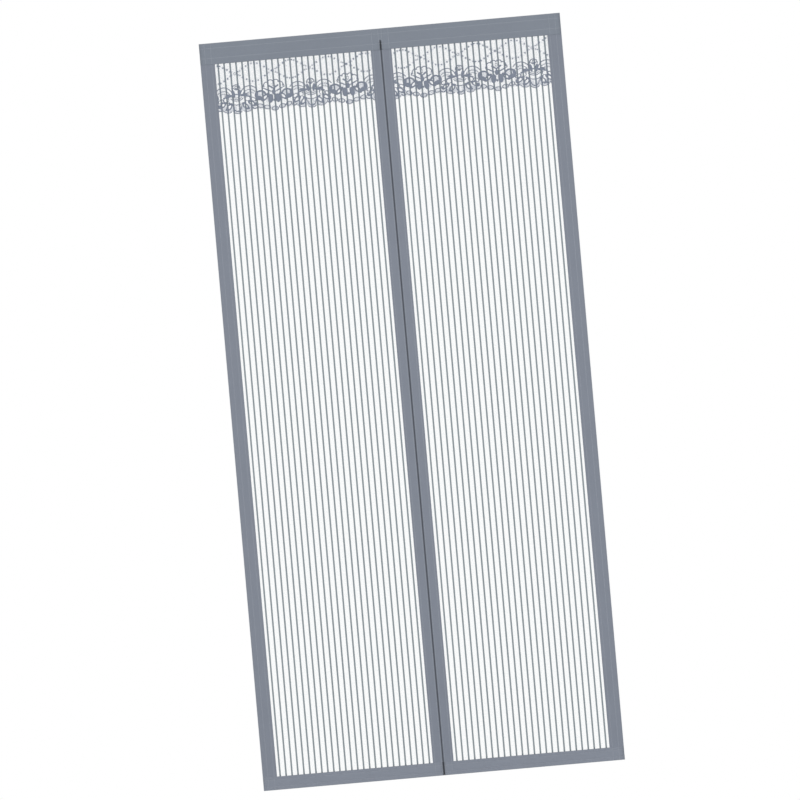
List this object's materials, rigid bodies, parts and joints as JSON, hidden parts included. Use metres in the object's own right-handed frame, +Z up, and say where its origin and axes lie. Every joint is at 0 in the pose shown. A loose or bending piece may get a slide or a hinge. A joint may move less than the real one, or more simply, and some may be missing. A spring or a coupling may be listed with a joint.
{
  "type": "magnetic insect screen",
  "caption": "Door-height insect screen of two striped net panels that close down the middle with magnets, with cloth tape edging, a lace valance and hook tape on the back.",
  "frame": {"origin": "middle of the back face of the hook tape along the top edge, where the screen is pressed on to a door frame", "axes": "+Z up along the height, +X to the right as seen from the front, +Y back towards the door frame, so the front faces -Y"},
  "size_m": [1.015, 0.0058, 2.1],
  "materials": {
    "tape_cloth": "matt woven polyester tape, slate grey",
    "net_mesh": "fine knitted net with woven stripes",
    "lace": "knitted lace, slate grey",
    "hook_tape": "nylon hook tape",
    "magnet": "nickel plated block magnet",
    "weight_steel": "plain steel flat"
  },
  "bodies": {
    "root": {"centre_tape_left": "tape_cloth", "centre_tape_right": "tape_cloth", "header_tape": "tape_cloth", "hem_left": "tape_cloth", "hem_right": "tape_cloth", "hem_weight_left": "weight_steel", "hem_weight_right": "weight_steel", "hook_tape_left": "hook_tape", "hook_tape_right": "hook_tape", "hook_tape_top": "hook_tape", "lace_left": "lace", "lace_right": "lace", "magnet_left_01": "magnet", "magnet_left_02": "magnet", "magnet_left_03": "magnet", "magnet_left_04": "magnet", "magnet_left_05": "magnet", "magnet_left_06": "magnet", "magnet_left_07": "magnet", "magnet_left_08": "magnet", "magnet_left_09": "magnet", "magnet_left_10": "magnet", "magnet_left_11": "magnet", "magnet_left_12": "magnet", "magnet_left_13": "magnet", "magnet_right_01": "magnet", "magnet_right_02": "magnet", "magnet_right_03": "magnet", "magnet_right_04": "magnet", "magnet_right_05": "magnet", "magnet_right_06": "magnet", "magnet_right_07": "magnet", "magnet_right_08": "magnet", "magnet_right_09": "magnet", "magnet_right_10": "magnet", "magnet_right_11": "magnet", "magnet_right_12": "magnet", "magnet_right_13": "magnet", "net_left": "net_mesh", "net_right": "net_mesh", "side_tape_left": "tape_cloth", "side_tape_right": "tape_cloth"}
  },
  "joints": []
}
